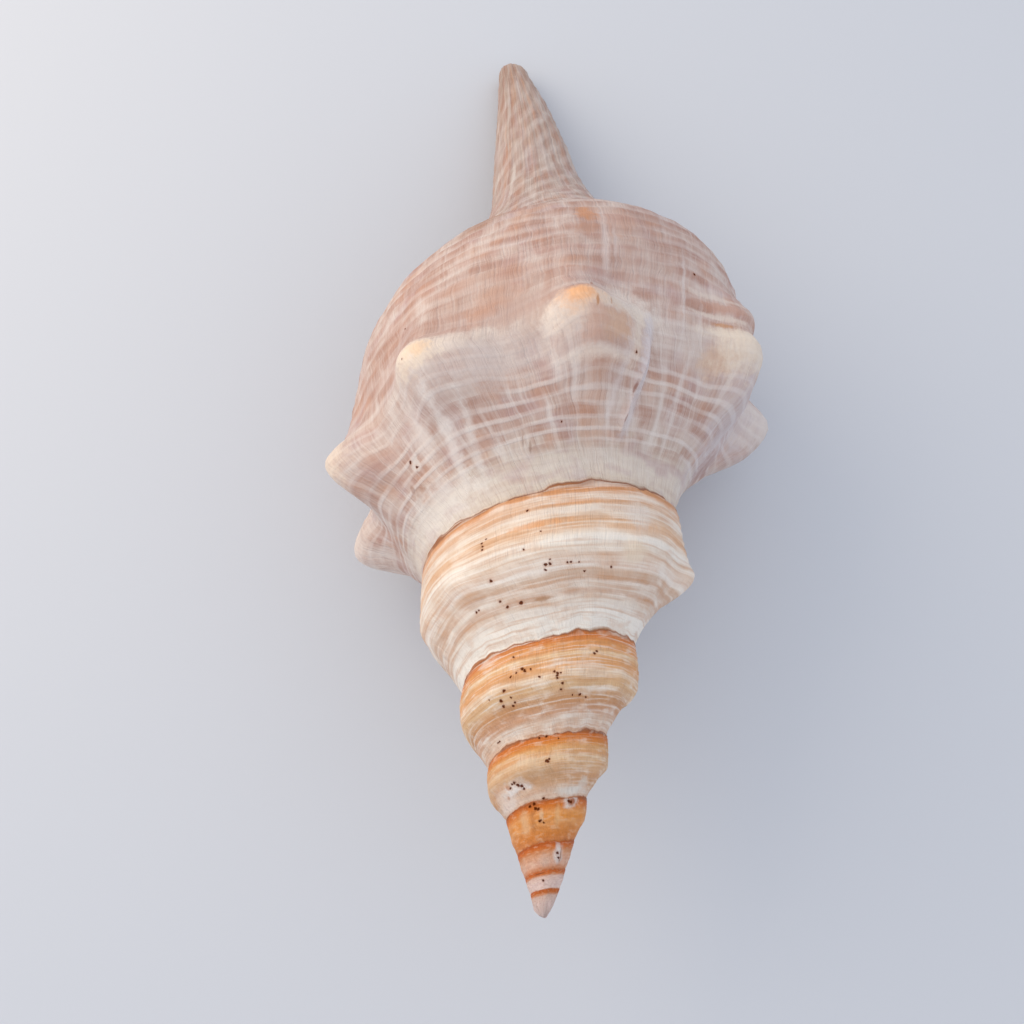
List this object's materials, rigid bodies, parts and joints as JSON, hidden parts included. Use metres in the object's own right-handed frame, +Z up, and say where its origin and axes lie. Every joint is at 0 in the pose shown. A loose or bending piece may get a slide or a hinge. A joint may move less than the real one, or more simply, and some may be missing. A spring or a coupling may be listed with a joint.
{
  "type": "horse conch shell",
  "caption": "Large spindle-shaped sea snail shell with a tall knobbed spire, a long open canal and a hollow mouth, lying mouth down.",
  "frame": {"origin": "on the table under the middle of the shell's box", "axes": "+Y from the spire's point to the canal's tip, +Z up out of the shell's back, +X to the side of the lip"},
  "size_m": [0.101, 0.2158, 0.0842],
  "materials": {
    "shell": "dull, weathered, cream and mauve with orange bands"
  },
  "bodies": {
    "root": {"shell": "shell"}
  },
  "joints": []
}
